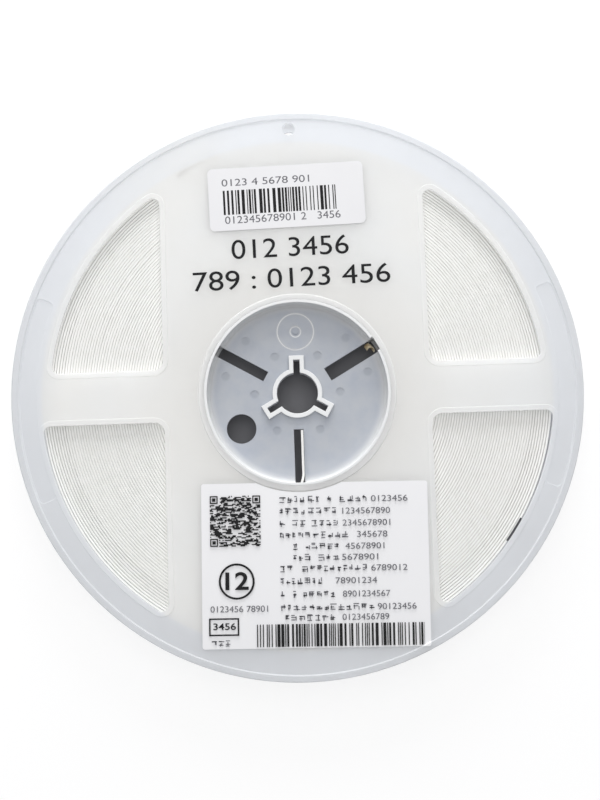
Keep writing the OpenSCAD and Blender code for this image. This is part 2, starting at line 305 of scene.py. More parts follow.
def use_handling(tree, coords, scratches, dust):
    """The mask of the handling marks."""
    return use_group(tree, handling_group, coords, Scratches=scratches, Dust=dust)["Mask"]


def add_grain(tree, shader, coords, fine, swell, share, strength, distance=0.0001):
    """Roughens a surface with the grain, through a bump that feeds the shader's normal."""
    grain = use_group(
        tree, grain_group, coords, Fine_Scale=fine, Swell_Scale=swell, Swell_Share=share,
    )
    bump = add_node(
        tree, "ShaderNodeBump", Height=grain["Height"], Strength=strength, Distance=distance,
    )
    set_sockets(tree, shader, Normal=bump.outputs["Normal"])


def tinted(colour, factor):
    """A colour scaled by a number or by three, as RGBA."""
    factors = factor if isinstance(factor, tuple) else (factor,) * 3
    return tuple(min(c * f, 1.0) for c, f in zip(colour, factors)) + (1.0,)


# %% [markdown]
# Flange plastic. Thin natural polystyrene is milky: part of the light goes through, so a flange
# looks whiter where the paper lies close behind it and bluish where nothing does. Here each skin of
# the sheet hides about half of what is behind it, through Alpha, and both skins together give the
# milky look. Refraction would need far more light paths for the same thin sheet.

# %% Flange masks
RIM_R = 86.0
PROUD_FROM, PROUD_TO = 0.04, 0.16
FRONT_FACE, REAR_FACE = (11.4, 1.0), (0.4, -1.0)


def proud_mask(tree, coords, face):
    """One on the frames and the ring round the hub, which stand off the sheet, not on the rim."""
    level, sign = face
    parts = add_node(tree, "ShaderNodeSeparateXYZ", Vector=coords)
    off = calc(tree, "MULTIPLY", calc(tree, "SUBTRACT", parts.outputs["Z"], level * MM), sign)
    rise = ranged(tree, off, start=PROUD_FROM * MM, stop=PROUD_TO * MM)
    inside = calc(tree, "LESS_THAN", plan_distance(tree, coords), RIM_R * MM)
    return calc(tree, "MULTIPLY", rise, inside)


def radial_mask(tree, coords, none_at, full_at):
    """Nothing at one distance from the reel's axis and one at another, in millimetres."""
    return ranged(tree, plan_distance(tree, coords), start=none_at * MM, stop=full_at * MM)


def add_milk(tree, shader, colour, share):
    """Lets a share of the light through the skin scattered, as frosted plastic does."""
    normal = shader.inputs["Normal"].links[0].from_socket
    milk = add_node(tree, "ShaderNodeBsdfTranslucent", Color=colour, Normal=normal)
    mix = add_node(tree, "ShaderNodeMixShader", Fac=share)
    tree.links.new(shader.outputs["BSDF"], mix.inputs[1])
    tree.links.new(milk.outputs["BSDF"], mix.inputs[2])
    set_sockets(tree, tree.nodes["Material Output"], Surface=mix.outputs["Shader"])


# %% Flange plastic
# The two flanges are one plastic: the front copy is made brighter and warmer, as painted light, and
# the rear copy cooler, as painted cool shade.
FRONT_LIT_TINT, REAR_SHADE_TINT = (1.134, 1.105, 1.06), (0.92, 1.0, 1.07)
FRONT_ALPHA, REAR_ALPHA = (0.58, 0.64), (0.6, 0.66)
FRAME_ALPHAS = (0.74, 0.62)
MARK_ALPHA = 0.62
MILK_SHARE = 0.3
FLANGE_CLOUDS, FLANGE_ROUGH = 22.0, (0.36, 0.6)
FLANGE_GRAIN = (900.0, 35.0, 2.0, 0.1)
ROLL_R, ROLL_FADE = 80.5, 0.6
FLANGE_DRIFT, PAINTED_COOL_SHADE = (0.975, 0.985, 1.0), (0.96, 0.975, 1.0, 1)
HUB_SHADE, HUB_SHADE_TONE = (52.0, 33.0), 0.955
MOUTH_GLOW = (31.6, 31.1)


def make_flange_plastic(name, tint, alphas, face):
    """Milky plastic with painted cool shade past the roll, painted shade near the hub and a painted
    glow round the hub's mouth; white where it stands proud.
    """
    material, tree, shader, coords = new_material(name)
    colour = tuple(c * t for c, t in zip(slot_colour("flange_plastic"), tint))
    drift = tinted(colour, FLANGE_DRIFT)
    tone, clouds = use_mottle(tree, coords, FLANGE_CLOUDS, tinted(colour, 1.0), drift)
    free_band = radial_mask(tree, coords, ROLL_R - ROLL_FADE, ROLL_R + ROLL_FADE)
    # Painted cool shade on the band past the roll, where no paper lies behind the sheet.
    cool_shaded = blend_colour(tree, free_band, tone, PAINTED_COOL_SHADE)
    # Painted shade on the flange near the hub.
    near_hub = radial_mask(tree, coords, *HUB_SHADE)
    hub_shaded = blend_colour(tree, near_hub, cool_shaded, tinted(colour, HUB_SHADE_TONE))
    # A painted glow on the ring round the hub's mouth.
    cast = blend_colour(tree, radial_mask(tree, coords, *MOUTH_GLOW), hub_shaded, WHITE)
    marks = use_handling(tree, coords, scratches=0.7, dust=0.5)
    by_band = ranged(tree, free_band, *FRAME_ALPHAS)
    frames = calc(tree, "MULTIPLY", proud_mask(tree, coords, face), by_band)
    dense = calc(tree, "MAXIMUM", calc(tree, "MULTIPLY", marks, MARK_ALPHA), frames)
    alpha = calc(tree, "MAXIMUM", ranged(tree, clouds, *alphas), dense)
    rough = ranged(tree, marks, *FLANGE_ROUGH)
    set_sockets(tree, shader, Base_Color=cast, Roughness=rough, Alpha=alpha, IOR=1.5)
    add_grain(tree, shader, coords, *FLANGE_GRAIN)
    add_milk(tree, shader, cast, MILK_SHARE)
    return material


flange_plastic = make_flange_plastic("flange_plastic", FRONT_LIT_TINT, FRONT_ALPHA, FRONT_FACE)
rear_plastic = make_flange_plastic("rear_flange_plastic", REAR_SHADE_TINT, REAR_ALPHA, REAR_FACE)
print("materials:", flange_plastic.name, rear_plastic.name)

# %% [markdown]
# Hub plastic. The hub is the same kind of plastic but thicker and greyer, so it lets less light
# through. Cloudy flow marks from moulding change its tone a little. The gate's rings and the marks
# of the ejector pins are so shallow that light alone hardly shows them, so masks paint them:
# painted shade in the pin marks and a painted highlight on the gate's rings. The walls and the
# collar get a painted white glow.

# %% Wall, collar and gate masks
WEB_MID_Z, WEB_HALF_T = 5.9, 1.0
COLLAR_FROM, COLLAR_TO = 0.05, 0.8
WALL_FROM_R, WALL_R, WALL_WHITENESS = 25.6, 28.4, 0.9
GATE_Y = 19.8
GATE_RINGS = ((5.8, 0.42), (1.7, 0.4))


def raised_mask(tree, coords):
    """One on the collar and the walls, which stand off the web on either face."""
    parts = add_node(tree, "ShaderNodeSeparateXYZ", Vector=coords)
    away = calc(tree, "ABSOLUTE", calc(tree, "SUBTRACT", parts.outputs["Z"], WEB_MID_Z * MM))
    start, stop = (WEB_HALF_T + COLLAR_FROM) * MM, (WEB_HALF_T + COLLAR_TO) * MM
    by_height = ranged(tree, away, start=start, stop=stop, smooth=True)
    reach = plan_distance(tree, coords)
    by_wall = ranged(tree, reach, 0.0, WALL_WHITENESS, WALL_FROM_R * MM, WALL_R * MM, smooth=True)
    return calc(tree, "MAXIMUM", by_height, by_wall)


def gate_mask(tree, coords):
    """One on the two fine rings round the place where the plastic was let in."""
    off = plan_distance(tree, coords, y=GATE_Y)
    lines = []
    for radius, width in GATE_RINGS:
        away = calc(tree, "ABSOLUTE", calc(tree, "SUBTRACT", off, radius * MM))
        lines.append(ranged(tree, away, start=width * MM, stop=0.0))
    return calc(tree, "MAXIMUM", *lines)


# %% Pin marks
INNER_PIN_R, OUTER_PIN_R, PIN_R = 13.6, 23.4, 1.4
PIN_FADE_OUT, PIN_FADE_IN = 0.3, 0.7
INNER_PIN_FOLD = 30
OUTER_PIN_FOLDS = (90, 59, 16)


def spot_mask(tree, reach, turned, ring_r):
    """One within a pin mark on a ring, from the distance to the axis and the angle to the mark."""
    along = calc(tree, "MULTIPLY", reach, calc(tree, "COSINE", turned))
    side = calc(tree, "MULTIPLY", reach, calc(tree, "SINE", turned))
    off = calc(tree, "SUBTRACT", along, ring_r * MM)
    squares = calc(tree, "ADD", *(calc(tree, "MULTIPLY", part, part) for part in (off, side)))
    start, stop = (PIN_R + PIN_FADE_OUT) * MM, (PIN_R - PIN_FADE_IN) * MM
    return ranged(tree, calc(tree, "SQRT", squares), start=start, stop=stop, smooth=True)


def pin_mask(tree, coords):
    """One on the marks of the ejector pins: six on an inner ring, two pairs on an outer one."""
    parts = add_node(tree, "ShaderNodeSeparateXYZ", Vector=coords)
    reach = plan_distance(tree, coords)
    angle = calc(tree, "ARCTAN2", parts.outputs["Y"], parts.outputs["X"])
    folded = calc(tree, "PINGPONG", angle, math.radians(INNER_PIN_FOLD))
    for fold in OUTER_PIN_FOLDS:
        angle = calc(tree, "ABSOLUTE", calc(tree, "SUBTRACT", angle, math.radians(fold)))
    inner = spot_mask(tree, reach, folded, INNER_PIN_R)
    return calc(tree, "MAXIMUM", inner, spot_mask(tree, reach, angle, OUTER_PIN_R))


# %% Hub plastic
FLOW_TINT, PIN_SHADE_TINT = (0.78, 0.8, 0.85), (0.45, 0.48, 0.53)
PIN_SHADE_SHARE = 0.28
WALL_GLOW_COLOUR = (0.91, 0.92, 0.93, 1)
WEB_ALPHA, WALL_ALPHA = (0.66, 0.74), 0.95
HUB_CLOUDS, HUB_ROUGH = 190.0, (0.3, 0.5)
HUB_GRAIN = (1100.0, 90.0, 2.5, 0.14)


def make_hub_plastic():
    """Cloudy grey plastic with painted shade in the pin marks, a painted highlight on the gate
    rings, and a painted white glow on walls and collar, where it is also dense.
    """
    material, tree, shader, coords = new_material("hub_plastic")
    colour = slot_colour("hub_plastic")
    base, flow = tinted(colour, 0.99), tinted(colour, FLOW_TINT)
    tone, clouds = use_mottle(tree, coords, HUB_CLOUDS, base, flow)
    # Painted shade in the pin marks, which are shallow hollows.
    pins = calc(tree, "MULTIPLY", pin_mask(tree, coords), PIN_SHADE_SHARE)
    marked = blend_colour(tree, pins, tone, tinted(colour, PIN_SHADE_TINT))
    raised, gate = raised_mask(tree, coords), gate_mask(tree, coords)
    # A painted white glow on the walls and the collar, which are also made denser below.
    wall_glowed = blend_colour(tree, raised, marked, WALL_GLOW_COLOUR)
    # A painted highlight on the gate's rings.
    gate_highlighted = blend_colour(tree, gate, wall_glowed, WHITE)
    by_wall = ranged(tree, raised, 0.0, WALL_ALPHA)
    dense = calc(tree, "MAXIMUM", ranged(tree, clouds, *WEB_ALPHA), by_wall)
    alpha = calc(tree, "MAXIMUM", dense, gate)
    rough = ranged(tree, use_handling(tree, coords, scratches=0.8, dust=0.4), *HUB_ROUGH)
    set_sockets(tree, shader, Base_Color=gate_highlighted, Roughness=rough, Alpha=alpha)
    add_grain(tree, shader, coords, *HUB_GRAIN)
    return material


hub_plastic = make_hub_plastic()
print("material:", hub_plastic.name)

# %% [markdown]
# Tape paper. The windows show the cut edges of the paper, turn beside turn. Each turn gets a tone
# of its own from an attribute that the mesh carries, and a short fibre grain runs over all of them.

# %% Tape paper
PAPER_TINTS = ((1.08, 1.09, 1.12), (1.04, 1.05, 1.07))
TONE_RANGE = (0.97, 1.02)
FIBRE_SCALE, PAPER_ROUGH = 300.0, (0.75, 0.92)
PAPER_GRAIN = (2600.0, 500.0, 0.8, 0.35, 0.00012)


def make_tape_paper():
    """Matt paper whose tone follows the turn."""
    material, tree, shader, coords = new_material("tape_paper")
    base, drift = (tinted(slot_colour("tape_paper"), tint) for tint in PAPER_TINTS)
    fibres, mask = use_mottle(tree, coords, FIBRE_SCALE, base, drift)
    tone = add_node(tree, "ShaderNodeAttribute", attribute_name="turn_tone")
    level = ranged(tree, tone.outputs["Fac"], *TONE_RANGE)
    grey = add_node(tree, "ShaderNodeCombineColor", Red=level, Green=level, Blue=level)
    paper = blend_colour(tree, 1.0, fibres, grey.outputs["Color"], "MULTIPLY")
    set_sockets(tree, shader, Base_Color=paper, Roughness=ranged(tree, mask, *PAPER_ROUGH))
    add_grain(tree, shader, coords, *PAPER_GRAIN)
    return material


tape_paper = make_tape_paper()
print("material:", tape_paper.name)

# %% [markdown]
# Label paper, ink and films. Label stock is smooth and very white, with a slight satin. Printed ink
# is a dull black that thins out in spots. The small films are a yellowish adhesive tape, a black
# strip and a brown scrap.

# %% Label paper, ink and films
LABEL_DRIFT = (0.985, 0.985, 0.99)
SATIN, DULL, GLOSSY = (0.42, 0.55), (0.5, 0.7), (0.25, 0.4)
UPPER_LABEL_TONE = 0.9
INK_SPECULAR = 0.15
ADHESIVE_DRIFT = (0.9, 0.88, 0.82)


def make_smooth_material(name, colour, drift, rough, scale, grain, strength=0.1):
    """A smooth sheet material: a drifting colour, a roughness range and a fine grain."""
    material, tree, shader, coords = new_material(name)
    tone, mask = use_mottle(tree, coords, scale, tinted(colour, 1.0), tinted(colour, drift))
    set_sockets(tree, shader, Base_Color=tone, Roughness=ranged(tree, mask, *rough))
    add_grain(tree, shader, coords, grain, 45.0, 3.0, strength)
    return material


def make_label_paper(name, tone):
    colour = [tone * channel for channel in slot_colour("label_paper")]
    return make_smooth_material(name, colour, LABEL_DRIFT, SATIN, 55.0, 2400.0, 0.12)


def make_ink(name, colour, drift, scale):
    ink = make_smooth_material(name, colour, drift, DULL, scale, 2400.0)
    shader = ink.node_tree.nodes["Principled BSDF"]
    set_sockets(ink.node_tree, shader, Specular_IOR_Level=INK_SPECULAR)
    return ink


def make_film(name, slot, drift, rough, scale, grain):
    return make_smooth_material(name, slot_colour(slot), drift, rough, scale, grain)


upper_paper = make_label_paper("upper_label_paper", UPPER_LABEL_TONE)
label_paper = make_label_paper("label_paper", 1.0)
print_ink = make_ink("print_ink", (0.012, 0.012, 0.013), 2.0, 900.0)
thin_ink = make_ink("thin_print_ink", (0.09, 0.09, 0.1), 2.4, 700.0)
adhesive_film = make_film("adhesive_film", "adhesive_film", ADHESIVE_DRIFT, GLOSSY, 160.0, 1200.0)
dark_film = make_film("dark_film", "dark_film", 1.8, (0.3, 0.45), 400.0, 1500.0)
print("materials:", label_paper.name, print_ink.name, adhesive_film.name, dark_film.name)

# %% [markdown]
# Mesh work. Every new piece is drawn as a bmesh in millimetres. The helpers do what all of them
# share: they move and turn it, join doubled vertices, give a sheet its thickness, mark the edges
# that stay sharp, and scale the finished piece to metres.

# %% Bmesh helpers
SHARP_ANGLE = math.radians(20)
FLAT_NORMAL = 0.99995


def shift(bm, x=0.0, y=0.0, z=0.0, verts=None):
    """Moves some vertices, or all of them."""
    bmesh.ops.translate(bm, vec=Vector((x, y, z)), verts=verts or bm.verts)


def turn(bm, degrees, axis, verts=None):
    """Turns some vertices, or all of them, about an axis through the origin."""
    matrix = Matrix.Rotation(math.radians(degrees), 3, axis)
    bmesh.ops.rotate(bm, cent=ORIGIN, matrix=matrix, verts=verts or bm.verts)


def face_out(bm):
    bmesh.ops.recalc_face_normals(bm, faces=bm.faces)


def tidy_faces(bm, merge):
    """Merges doubled vertices and turns the faces outwards."""
    bmesh.ops.remove_doubles(bm, verts=bm.verts, dist=merge)
    face_out(bm)


def whole_geom(bm):
    return bm.verts[:] + bm.edges[:] + bm.faces[:]


def only_verts(geom):
    return [item for item in geom if isinstance(item, bmesh.types.BMVert)]


def spin_section(bm, angle, steps):
    """Spins the whole bmesh about the reel's axis; a full turn closes on itself."""
    bmesh.ops.spin(
        bm, geom=whole_geom(bm), cent=ORIGIN, axis=(0, 0, 1), angle=angle, steps=steps,
        use_merge=angle == math.tau,
    )


def thicken(bm, height):
    """Closes a flat sheet into a plate: a raised copy of its faces, joined by walls."""
    raised = bmesh.ops.extrude_face_region(bm, geom=bm.faces[:], use_keep_orig=True)["geom"]
    shift(bm, z=height, verts=only_verts(raised))
    face_out(bm)


def open_edges(bm):
    return sum(not edge.is_manifold for edge in bm.edges)


def is_soft(edge):
    """True where two faces shade as one: a shallow angle, but not between a flat and a curve."""
    if not edge.is_manifold or edge.calc_face_angle(0) > SHARP_ANGLE:
        return False
    flat = [abs(face.normal.z) > FLAT_NORMAL for face in edge.link_faces]
    return flat[0] == flat[1]


def soften(bm):
    """Smooth shading, with the sharp edges marked."""
    bm.normal_update()
    for face in bm.faces:
        face.smooth = True
    for edge in bm.edges:
        edge.smooth = is_soft(edge)


# %% Finishing helpers
def to_mesh(bm, name):
    """Hands a bmesh over to a new mesh."""
    mesh = bpy.data.meshes.new(name)
    bm.to_mesh(mesh)
    bm.free()
    return mesh


def finish_piece(bm, name, material, node=None):
    """Turns a bmesh drawn in millimetres into a piece on the root body, in metres."""
    soften(bm)
    bmesh.ops.scale(bm, vec=Vector((MM, MM, MM)), verts=bm.verts)
    piece = add_object(name, to_mesh(bm, name))
    piece.data.materials.append(material)
    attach(piece, "root")
    if node:
        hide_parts(node)
    triangles = sum(len(face.vertices) - 2 for face in piece.data.polygons)
    print("%s: %d triangles" % (name, triangles))


def merged_copy(node, join_flats):
    """A merged bmesh copy of a solid, in millimetres, with its flat triangles joined if asked."""
    bm = bmesh.new()
    bm.from_mesh(frame["nodes"][node].data)
    bmesh.ops.scale(bm, vec=Vector((1 / MM,) * 3), verts=bm.verts)
    bmesh.ops.remove_doubles(bm, verts=bm.verts, dist=0.0005)
    if join_flats:
        bmesh.ops.dissolve_limit(bm, angle_limit=0.002, verts=bm.verts, edges=bm.edges)
    return bm


def round_edges(bm, width, chosen, angle=25, segments=1):
    """Bevels the chosen edges that are sharper than an angle."""
    limit = math.radians(angle)
    sharp = [e for e in bm.edges if e.is_manifold and e.calc_face_angle(0) > limit and chosen(e)]
    bmesh.ops.bevel(
        bm, geom=sharp, offset=width, segments=segments, affect="EDGES", profile=0.5,
        clamp_overlap=False, material=-1,
    )
    return len(sharp)


# %% [markdown]
# Flanges. Their solids have the right shape, with rim, window frames and recesses. A moulded edge
# is never dead sharp, so each flange is a merged copy with its edges broken by a few hundredths of
# a millimetre, which is what catches the light.

# %% Flanges
FLANGE_BREAK = 0.06


def longer_than(length):
    return lambda edge: edge.calc_length() > length


def make_flange(node, name, material):
    bm = merged_copy(node, True)
    count = round_edges(bm, FLANGE_BREAK, longer_than(4 * FLANGE_BREAK))
    print(name, "edges broken:", count)
    finish_piece(bm, name, material, node)


make_flange("front_flange", "front_flange_moulding", flange_plastic)
make_flange("rear_flange", "rear_flange_moulding", rear_plastic)

# %% [markdown]
# Hub. The same way serves here, with a wider break on the collar and the lips, where the mould has
# real radii and the plastic shows a pale line.

# %% Hub
hub_low, hub_high = box_mm("hub")
HUB_BREAK = 0.14
SHORTEST_BROKEN = 2.5 * HUB_BREAK
SAME_LEVEL = 0.01
COLLAR_TOP_Z = WEB_MID_Z + WEB_HALF_T + 1.2


def on_proud_edges(edge):
    """True on the edges of the collar's two faces and of the two lips' ends."""
    levels = (COLLAR_TOP_Z, 2 * WEB_MID_Z - COLLAR_TOP_Z, hub_high.z, hub_low.z)
    if edge.calc_length() < SHORTEST_BROKEN:
        return False
    return any(all(abs(v.co.z - level) < SAME_LEVEL for v in edge.verts) for level in levels)


def make_hub():
    bm = merged_copy("hub", False)
    count = round_edges(bm, HUB_BREAK, on_proud_edges, segments=2)
    print("hub edges broken:", count)
    finish_piece(bm, "hub_moulding", hub_plastic, "hub")


make_hub()

# %% [markdown]
# Wound tape. The tape is one long strip, so it starts as a flat grid whose rows follow the winding.
# Each row is then put across the path, which comes out of the hub's slot, bends, and runs on as a
# spiral of half rings on two centres. Every turn stands a little higher or lower than the next, as
# real windings do. A ring for each turn would be simpler, but it would have no beginning or end.

# %% Winding path
TURN_T = 0.84
WIND_IN_R = 30.4
TIGHT_GAP, LOOSE_GAP = 0.09, 0.14
WHOLE_TURNS, LOOSE_TURNS, END_TURN = 59, 8, 155
TAPE_BODY_END = 360 * (WHOLE_TURNS - 1) + END_TURN
START_ANGLE, FIRST_RUN, STEP_ANGLE = 270, 6, 3
TAIL_X, TAIL_END_Y = 1.06, -11.9
TAIL_RUN = ((13.4, 0, 4), (3.07, 22, 6), (1.19, 0, 2), (2.54, 68, 8))


def winding(run):
    """Point on the inner side of the winding and its outward direction, at a run in degrees."""
    half = int(run // 180)
    centre_y = -TURN_T / 2 if half % 2 else 0.0
    radius = WIND_IN_R + half * TURN_T / 2
    angle = math.radians(START_ANGLE - run)
    out = Vector((math.cos(angle), math.sin(angle), 0))
    return Vector((0, centre_y, 0)) + out * radius, out


def layer_thickness(run):
    """Thickness of the tape at a run: the pitch less the gap, which is wider on the last turns."""
    gap = TIGHT_GAP if run < 360 * (WHOLE_TURNS - LOOSE_TURNS) else LOOSE_GAP
    return TURN_T - gap


def tail_rows():
    """Rows of the inner end, as (inner point, outward direction): straight, a lean, and a bend."""
    half = (TURN_T - TIGHT_GAP) / 2
    middle, heading = Vector((TAIL_X, TAIL_END_Y, 0)), 0.0
    centres = [(middle.copy(), Vector((1, 0, 0)))]
    for length, sweep, steps in TAIL_RUN:
        for _ in range(steps):
            heading += sweep / steps / 2
            lean = math.radians(heading)
            middle = middle + Vector((-math.sin(lean), -math.cos(lean), 0)) * (length / steps)
            heading += sweep / steps / 2
            lean = math.radians(heading)
            centres.append((middle.copy(), Vector((math.cos(lean), -math.sin(lean), 0))))
    return [(point - out * half, out) for point, out in centres]


# %% Turn heights
SWAY, SWAY_RUN = 0.03, 95.0
HIGH_FROM, HIGH_SHARE, HIGH_RUN = 0.4, 0.35, 240.0
LIFT_LIMIT = 0.3
TONE_RUN = 130.0


def turn_lift(run):
    """How far the tape stands above its normal height at a run: slow sway and a rare high turn."""
    sway = SWAY * noise.noise(Vector((run / SWAY_RUN, 3.7, 0)))
    high = max(0.0, noise.noise(Vector((run / HIGH_RUN, 9.1, 4.0))) - HIGH_FROM) * HIGH_SHARE
    return min(sway + high, LIFT_LIMIT)


def turn_tone(run):
    """Tone of the paper edge at a run, from 0 to 1."""
    return 0.5 + 0.5 * noise.noise(Vector((run / TONE_RUN, 17.3, 2.0)))


# %% Wind the tape
EDGE_ROUND = 0.13
CORNERS = 8


def strip_section(thickness):
    """The eight corners of the tape's section: across the thickness and up."""
    r = EDGE_ROUND
    return [
        (r, 0), (thickness - r, 0), (thickness, r), (thickness, tape_w - r),
        (thickness - r, tape_w), (r, tape_w), (0, tape_w - r), (0, r),
    ]


def wind_tape():
    rows = [(point, out, 0.0) for point, out in tail_rows()]
    runs = range(FIRST_RUN, TAPE_BODY_END + 1, STEP_ANGLE)
    rows += [winding(run) + (float(run),) for run in runs]
    bm = bmesh.new()
    bmesh.ops.create_grid(bm, x_segments=len(rows) - 1, y_segments=CORNERS, size=1.0)
    tone = bm.verts.layers.float.new("turn_tone")
    for vert in bm.verts:
        row = round((vert.co.x + 1) / 2 * (len(rows) - 1))
        corner = round((vert.co.y + 1) / 2 * CORNERS) % CORNERS
        point, out, run = rows[row]
        across, up = strip_section(layer_thickness(run))[corner]
        lift = turn_lift(run) if up > tape_w / 2 else 0.0
        vert.co = point + out * across + Vector((0, 0, tape_low.z + up + lift))
        vert[tone] = turn_tone(run)
    bmesh.ops.remove_doubles(bm, verts=bm.verts, dist=0.0001)
    bmesh.ops.holes_fill(bm, edges=[e for e in bm.edges if e.is_boundary], sides=0)
    face_out(bm)
    print("wound tape open edges:", open_edges(bm))
    finish_piece(bm, "wound_tape", tape_paper, "carrier_tape")


wind_tape()

# %% [markdown]
# Outer turn. Seen from the side, the last turn shows what the tape is: a row of round sprocket
# holes, a row of pockets, and a clear film sealed over the pockets. The turn is a flat sheet with
# real holes, made of one cell that is repeated, given its thickness, and then bent round the roll.

# %% Outer turn
CELL = 4.0
SPROCKET_D, SPROCKET_X, SPROCKET_Z = 1.55, 0.95, 1.75
POCKET_X, POCKET_Z, POCKET_W, POCKET_H = 2.9, 5.25, 1.8, 3.5
FILM_T = 0.05
OUTER_T = TURN_T - LOOSE_GAP - FILM_T
OUTER_CELLS, CELLS_A_TURN = 125, 126
OUTER_START = TAPE_BODY_END + 1.0
OUTER_TONE = 0.55


def outline_edges(bm, points):
    """A closed loop of edges through flat points."""
    verts = [bm.verts.new((x, y, 0)) for x, y in points]
    return [bm.edges.new((a, b)) for a, b in zip(verts, verts[1:] + verts[:1])]


def make_cell(bm):
    """One 4 mm cell of tape as a flat face with a sprocket hole and a pocket."""
    rim = [(0, 0), (CELL / 2, 0), (CELL, 0), (CELL, tape_w), (CELL / 2, tape_w), (0, tape_w)]
    angles = [step * math.pi / 8 for step in range(16)]
    radius = SPROCKET_D / 2
    ring = [(SPROCKET_X + radius * math.cos(a), SPROCKET_Z + radius * math.sin(a)) for a in angles]
    left, right = POCKET_X - POCKET_W / 2, POCKET_X + POCKET_W / 2
    low, high = POCKET_Z - POCKET_H / 2, POCKET_Z + POCKET_H / 2
    pocket = [(left, low), (right, low), (right, high), (left, high)]
    edges = outline_edges(bm, rim) + outline_edges(bm, ring) + outline_edges(bm, pocket)
    bmesh.ops.triangle_fill(bm, use_beauty=True, edges=edges)


def bend_round(bm, offset):
    """Bends a flat strip round the roll: x becomes the run, y the height and z the depth."""
    for vert in bm.verts:
        run = OUTER_START + vert.co.x / CELL * 360.0 / CELLS_A_TURN
        point, out = winding(run)
        lift = turn_lift(run) * min(max(vert.co.y / tape_w, 0.0), 1.0)
        vert.co = point + out * (offset + vert.co.z) + Vector((0, 0, tape_low.z + vert.co.y + lift))


def make_outer_turn():
    bm = bmesh.new()
    make_cell(bm)
    cell = whole_geom(bm)
    for index in range(1, OUTER_CELLS):
        copy = bmesh.ops.duplicate(bm, geom=cell)["geom"]
        shift(bm, x=index * CELL, verts=only_verts(copy))
    tidy_faces(bm, 0.001)
    thicken(bm, OUTER_T)
    tone = bm.verts.layers.float.new("turn_tone")
    for vert in bm.verts:
        vert[tone] = OUTER_TONE
    bend_round(bm, 0.0)
    print("outer turn open edges:", open_edges(bm))
    finish_piece(bm, "outer_turn", tape_paper, "carrier_tape")


make_outer_turn()


# %% Cover film
FILM_LOW, FILM_HIGH = 2.6, 7.9
FILM_SEAT = 0.01
FILM_STEP = 2.0
FILM_TONES = ((0.9, 0.91, 0.92, 1), (0.82, 0.84, 0.86, 1))


def make_film_material():
    """Clear film: a little haze and a smooth surface."""
    material, tree, shader, coords = new_material("cover_film")
    tone, mask = use_mottle(tree, coords, 120.0, *FILM_TONES)
    rough, alpha = ranged(tree, mask, 0.12, 0.22), ranged(tree, mask, 0.3, 0.42)
    set_sockets(tree, shader, Base_Color=tone, Roughness=rough, Alpha=alpha)
    return material


def make_cover_film(material):
    """The clear film over the pockets of the outer turn, as a thin closed strip."""
    length = (OUTER_CELLS - 0.5) * CELL
    size = Vector((length, FILM_HIGH - FILM_LOW, FILM_T - FILM_SEAT))
    bm = bmesh.new()
    bmesh.ops.create_cube(bm, size=1.0)
    bmesh.ops.scale(bm, vec=size, verts=bm.verts)
    shift(bm, length / 2, (FILM_LOW + FILM_HIGH) / 2, FILM_T / 2)
    for index in range(1, int(length / FILM_STEP)):
        place = (index * FILM_STEP, 0, 0)
        bmesh.ops.bisect_plane(bm, geom=whole_geom(bm), plane_co=place, plane_no=(1, 0, 0))
    bend_round(bm, OUTER_T)
    finish_piece(bm, "cover_film", material)


make_cover_film(make_film_material())

# %% [markdown]
# Scrap in the wide slot. A curl of brown film is stuck at the outer end of the wide slot, left from
# the tape's start. It is a flat strip that is given its thickness and then rolled up.

# %% Slot scrap
SCRAP_R, SCRAP_H, SCRAP_T = 1.15, 3.4, 0.12
SCRAP_START, SCRAP_SWEEP = -60, 215
SCRAP_WIDENS, SCRAP_NARROWS = 0.25, 0.25
SCRAP_LEAN, SLOT_ANGLE = 38, 30
SCRAP_PLACE = (27.2, 1.0, 4.6)
SCRAP_DRIFT = (0.45, 0.33, 0.2)


def make_slot_scrap(material):
    """A thin strip curled into a widening roll, leaned over and set in the slot."""
    bm = bmesh.new()
    bmesh.ops.create_grid(bm, x_segments=14, y_segments=3, size=0.5)
    bmesh.ops.solidify(bm, geom=bm.faces[:], thickness=SCRAP_T)
    for vert in bm.verts:
        x, y, z = vert.co
        angle = math.radians(SCRAP_SWEEP * (x + 0.5) + SCRAP_START)
        radius = SCRAP_R * (1 + SCRAP_WIDENS * x) + z
        height = (y + 0.5) * SCRAP_H * (1 - SCRAP_NARROWS * (x + 0.5))
        vert.co = Vector((radius * math.cos(angle), radius * math.sin(angle), height))
    face_out(bm)
    turn(bm, SCRAP_LEAN, "X")
    shift(bm, *SCRAP_PLACE)
    turn(bm, SLOT_ANGLE, "Z")
    finish_piece(bm, "slot_scrap", material)


make_slot_scrap(make_film("brown_film", "adhesive_film", SCRAP_DRIFT, GLOSSY, 420.0, 1200.0))

# %% [markdown]
# Dark edge line. A short black line lies on the tape's front edge at the outermost turn, where the
# black strip is. A small rectangle spun about the reel's axis makes it.

# %% Dark edge line
EDGE_LINE_IN_R, EDGE_LINE_OUT_R = 80.0, 80.62
EDGE_LINE_SINK, EDGE_LINE_RISE = 0.05, 0.12
EDGE_LINE_SWEEP, EDGE_LINE_STEPS = 6.0, 10


